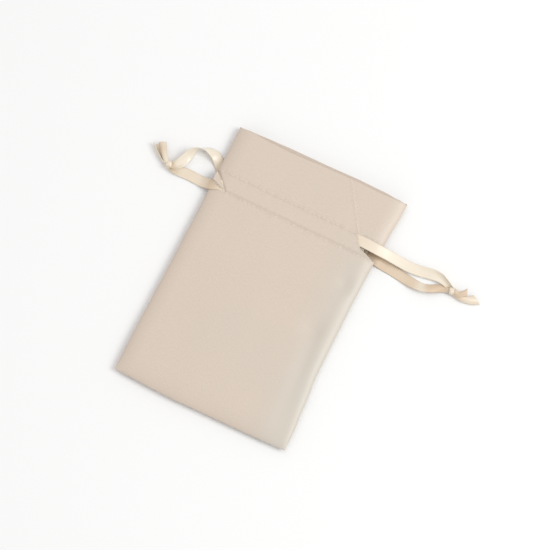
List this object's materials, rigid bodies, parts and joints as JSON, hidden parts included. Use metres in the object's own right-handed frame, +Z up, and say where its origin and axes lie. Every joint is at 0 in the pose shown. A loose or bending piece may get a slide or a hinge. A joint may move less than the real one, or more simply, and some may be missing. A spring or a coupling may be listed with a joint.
{
  "type": "fabric gift sack",
  "caption": "Flat satin pouch with a stitched casing near the mouth and two ribbon drawstrings that leave at opposite sides, each knotted to a loop, for wrapping a small gift.",
  "frame": {"origin": "on the table, at the centre of the sack's outline: midway between its sides and between its bottom and its mouth", "axes": "+Z up from the table through the front of the sack, +Y from the bottom to the mouth, +X to the right seen from above the front"},
  "size_m": [0.1956, 0.15, 0.007],
  "materials": {
    "satin": "satin weave, soft directional sheen",
    "ribbon": "satin ribbon, woven edges",
    "thread": "matt sewing thread"
  },
  "bodies": {
    "sack": {"front_panel": "satin", "back_panel": "satin", "front_upper_stitch": "thread", "front_lower_stitch": "thread", "back_upper_stitch": "thread", "back_lower_stitch": "thread", "left_side_seam": "thread", "right_side_seam": "thread", "left_heading_seam": "thread", "right_heading_seam": "thread", "bottom_seam": "thread"},
    "left_drawstring": {"left_ribbon_run": "ribbon", "left_front_strand": "ribbon", "left_back_strand": "ribbon", "left_knot": "ribbon", "left_long_tail": "ribbon", "left_flat_tail": "ribbon", "right_slit_edging": "thread"},
    "right_drawstring": {"right_ribbon_run": "ribbon", "right_front_strand": "ribbon", "right_back_strand": "ribbon", "right_knot": "ribbon", "right_short_tail": "ribbon", "right_flat_tail": "ribbon", "left_slit_edging": "thread"}
  },
  "joints": [
    {"name": "left_drawstring_pull", "type": "slide", "parent": "sack", "child": "left_drawstring", "axis": [-1, 0, 0], "range_m": [0, 0.03], "deforming": ["front_panel", "back_panel", "front_upper_stitch", "front_lower_stitch", "back_upper_stitch", "back_lower_stitch", "right_side_seam", "right_heading_seam"]},
    {"name": "right_drawstring_pull", "type": "slide", "parent": "sack", "child": "right_drawstring", "axis": [1, 0, 0], "range_m": [0, 0.03], "deforming": ["left_side_seam", "left_heading_seam"]}
  ]
}
